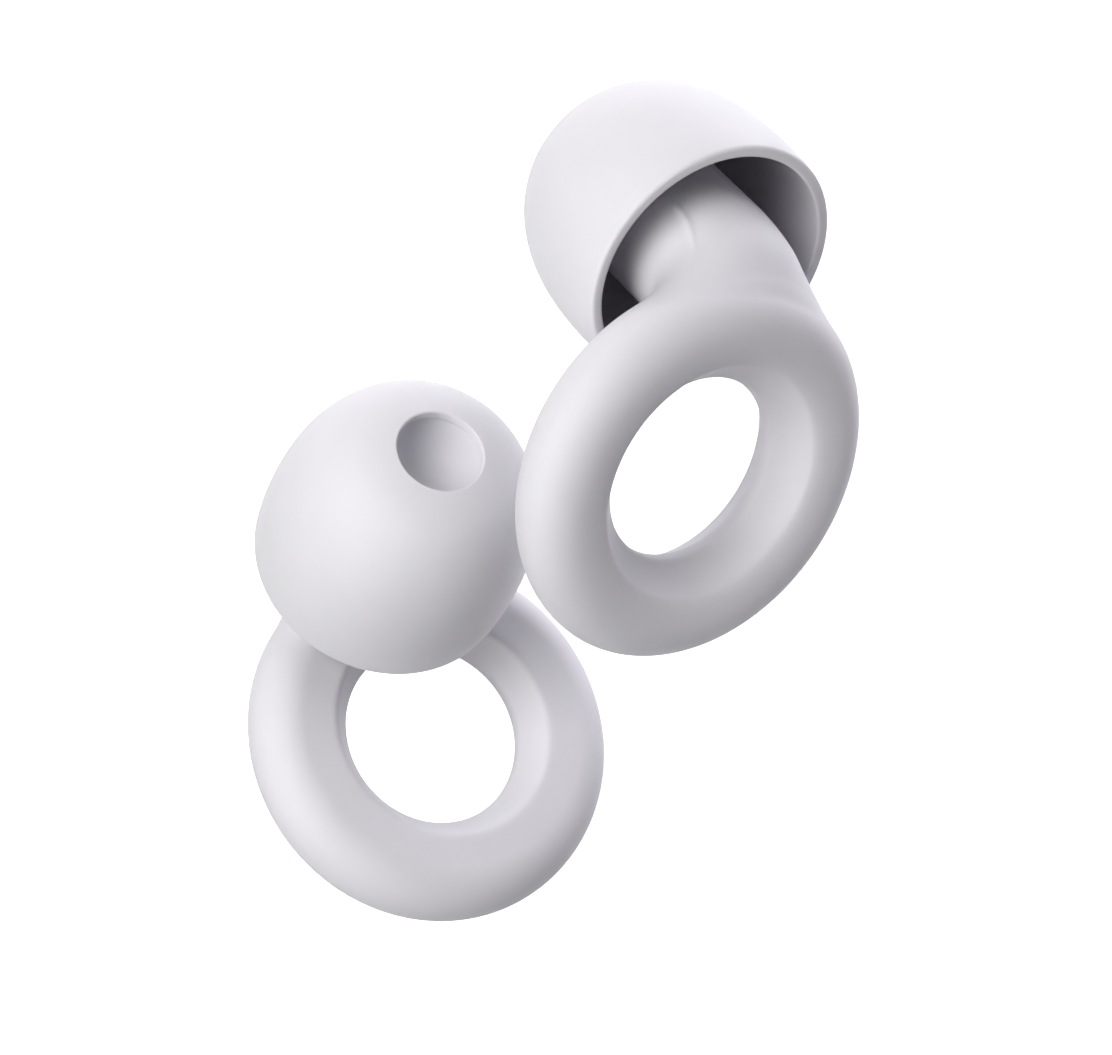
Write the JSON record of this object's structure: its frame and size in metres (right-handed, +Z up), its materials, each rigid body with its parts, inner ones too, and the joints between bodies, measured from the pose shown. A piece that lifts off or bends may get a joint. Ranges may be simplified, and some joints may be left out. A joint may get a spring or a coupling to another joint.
{
  "type": "ear plugs",
  "caption": "Pair of reusable soft ring-type ear plugs: a moulded grip ring with a stem, and a hollow bullet-shaped ear tip with a hole in its nose that pushes over the stem's nozzle.",
  "frame": {"origin": "centre of the pair's bounding box, on the surface that the pair lies on", "axes": "+Z up from that surface; +X along the pair's longest side, towards the ear tips; +Y from the right plug towards the left plug"},
  "size_m": [0.0345, 0.025, 0.0163],
  "materials": {
    "ring_silicone": "matte",
    "tip_silicone": "matte"
  },
  "bodies": {
    "left_ring": {"left_ring_stem": "ring_silicone"},
    "left_tip": {"left_ear_tip": "tip_silicone"},
    "right_ring": {"right_ring_stem": "ring_silicone"},
    "right_tip": {"right_ear_tip": "tip_silicone"}
  },
  "joints": [
    {"name": "left_tip_pull", "type": "slide", "parent": "left_ring", "child": "left_tip", "axis": [0.5256, -0.7687, 0.3646], "range_m": [0, 0.0045]},
    {"name": "right_tip_pull", "type": "slide", "parent": "right_ring", "child": "right_tip", "axis": [0.5434, 0.8134, -0.2078], "range_m": [0, 0.0045]},
    {"name": "pair_apart", "type": "slide", "parent": "left_ring", "child": "right_ring", "axis": [0, -1, 0], "range_m": [0, 0.015]}
  ]
}
